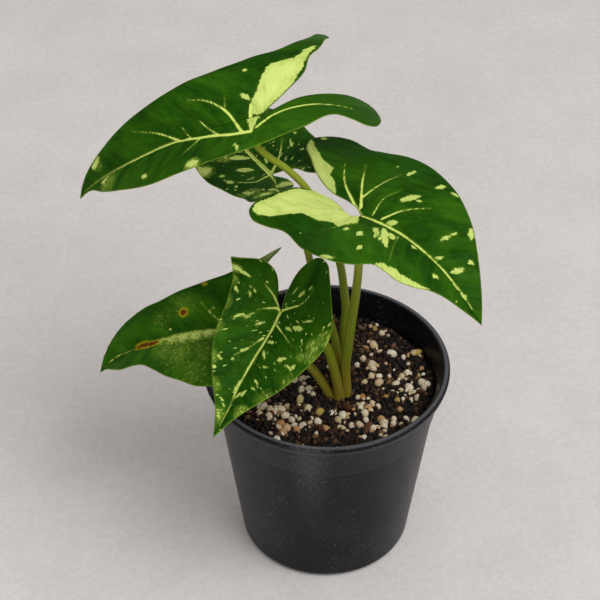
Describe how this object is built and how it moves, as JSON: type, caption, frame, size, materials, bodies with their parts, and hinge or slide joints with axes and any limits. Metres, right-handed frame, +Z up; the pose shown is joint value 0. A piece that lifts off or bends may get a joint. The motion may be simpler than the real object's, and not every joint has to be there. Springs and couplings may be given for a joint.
{
  "type": "potted syngonium",
  "caption": "Small potted arrowhead vine with dark green arrowhead leaves marbled in cream, standing in a plain black nursery pot filled with bark and perlite mix.",
  "frame": {"origin": "centre of the pot's flat underside, which stands on Z = 0", "axes": "+Z up along the pot's axis; -Y towards the viewer of the picture, +X to the viewer's right"},
  "size_m": [0.186, 0.1749, 0.2575],
  "materials": {
    "pot": "thin black plastic with a soft sheen, slightly dusty with soil",
    "soil": "damp dark potting mix of bark and peat with white perlite grains",
    "stalk": "olive green, browner towards the crown, with a soft sheen",
    "blade": "dark green, satin, marbled and speckled with cream and pale green"
  },
  "bodies": {
    "root": {"pot": "pot", "soil": "soil", "crown": "stalk", "stalk_top": "stalk", "stalk_right": "stalk", "stalk_front": "stalk", "stalk_left": "stalk", "stalk_back": "stalk", "leaf_top": "blade", "leaf_right": "blade", "leaf_front": "blade", "leaf_left": "blade", "leaf_back": "blade"}
  },
  "joints": []
}
